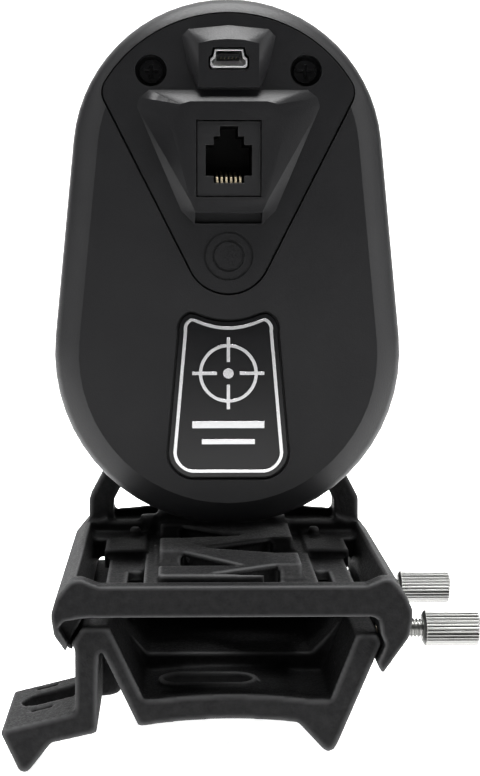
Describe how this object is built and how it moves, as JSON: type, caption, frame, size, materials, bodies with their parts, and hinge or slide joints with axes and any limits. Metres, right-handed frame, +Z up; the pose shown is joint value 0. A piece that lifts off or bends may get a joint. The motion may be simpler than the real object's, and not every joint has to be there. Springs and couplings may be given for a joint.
{
  "type": "telescope alignment camera on a finder shoe",
  "caption": "Egg-shaped alignment camera on an arched sliding shoe, clamped by knurled thumbscrews to a cast dovetail base for a round telescope tube.",
  "frame": {"origin": "on the camera's symmetry plane, half way along the sliding shoe, at the level of the crown of the round tube that the base stands on", "axes": "+Z up and away from the tube, +Y the way the lens looks, -Y the port side, +X towards the clamp screws"},
  "size_m": [0.0953, 0.1292, 0.1544],
  "materials": {
    "shell_plastic": "fine-textured satin black",
    "insert_plastic": "fine-textured satin black, a little smoother than the shell",
    "seal_rubber": "matt",
    "screw_steel": "plain zinc",
    "black_screw": "black oxide",
    "jack_plastic": "satin black",
    "gold_contact": "bright plated",
    "socket_metal": "bright plated",
    "circuit_board": "green solder mask",
    "badge_gloss": "gloss black",
    "badge_silver": "bright print",
    "chip_plastic": "moulded black",
    "filter_glass": "coated",
    "flex_film": "amber film",
    "barrel_plastic": "satin black",
    "cell_plastic": "flocked black",
    "lens_glass": "polished and coated",
    "ring_aluminium": "black anodised",
    "cap_plastic": "satin black",
    "cast_black": "black textured powder coat over a casting",
    "knob_metal": "bright, straight knurled",
    "pad_brass": "turned"
  },
  "bodies": {
    "base": {"dovetail_base": "cast_black", "end_plate": "cast_black"},
    "shoe": {"rear_shell": "shell_plastic", "front_shell": "shell_plastic", "shell_seal": "seal_rubber", "shell_screws": "screw_steel", "port_insert": "insert_plastic", "insert_screws": "black_screw", "jack_housing": "jack_plastic", "jack_contacts": "gold_contact", "usb_shell": "socket_metal", "usb_tongue": "jack_plastic", "port_board": "circuit_board", "badge_plate": "badge_gloss", "badge_trim": "badge_silver", "badge_emblem": "badge_silver", "main_board": "circuit_board", "board_chips": "chip_plastic", "board_screws": "screw_steel", "sensor_board": "circuit_board", "sensor_chip": "chip_plastic", "infrared_filter": "filter_glass", "flex_cable": "flex_film", "lens_barrel": "barrel_plastic", "dew_shield": "barrel_plastic", "lens_cell": "cell_plastic", "lens_front": "lens_glass", "lens_second": "lens_glass", "lens_third": "lens_glass", "lens_rear": "lens_glass", "lens_spacers": "cell_plastic", "lens_retainer": "ring_aluminium", "bracket": "cast_black", "arch_screws": "black_screw"},
    "cap": {"lens_cap": "cap_plastic"},
    "pad_port_end": {"clamp_pad_port_end": "pad_brass"},
    "screw_port_end": {"clamp_screw_port_end": "knob_metal"},
    "pad_lens_end": {"clamp_pad_lens_end": "pad_brass"},
    "screw_lens_end": {"clamp_screw_lens_end": "knob_metal"}
  },
  "joints": [
    {"name": "shoe_slide", "type": "slide", "parent": "base", "child": "shoe", "axis": [0, -1, 0], "range_m": [0, 0.066]},
    {"name": "clamp_travel_port_end", "type": "slide", "parent": "shoe", "child": "pad_port_end", "axis": [1, 0, 0], "range_m": [0, 0.005]},
    {"name": "clamp_turn_port_end", "type": "hinge", "parent": "pad_port_end", "child": "screw_port_end", "pos_m": [0.04, -0.018, 0.0185], "axis": [1, 0, 0], "range_deg": [0, 2571.5]},
    {"name": "clamp_travel_lens_end", "type": "slide", "parent": "shoe", "child": "pad_lens_end", "axis": [1, 0, 0], "range_m": [0, 0.005]},
    {"name": "clamp_turn_lens_end", "type": "hinge", "parent": "pad_lens_end", "child": "screw_lens_end", "pos_m": [0.04, 0.018, 0.0185], "axis": [1, 0, 0], "range_deg": [0, 2571.5]},
    {"name": "cap_pull", "type": "slide", "parent": "shoe", "child": "cap", "axis": [0, 1, 0], "range_m": [0, 0.03]}
  ],
  "couplings": [
    {"joint": "clamp_turn_port_end", "follows": "clamp_travel_port_end", "rad_per_m": 8976},
    {"joint": "clamp_turn_lens_end", "follows": "clamp_travel_lens_end", "rad_per_m": 8976}
  ]
}
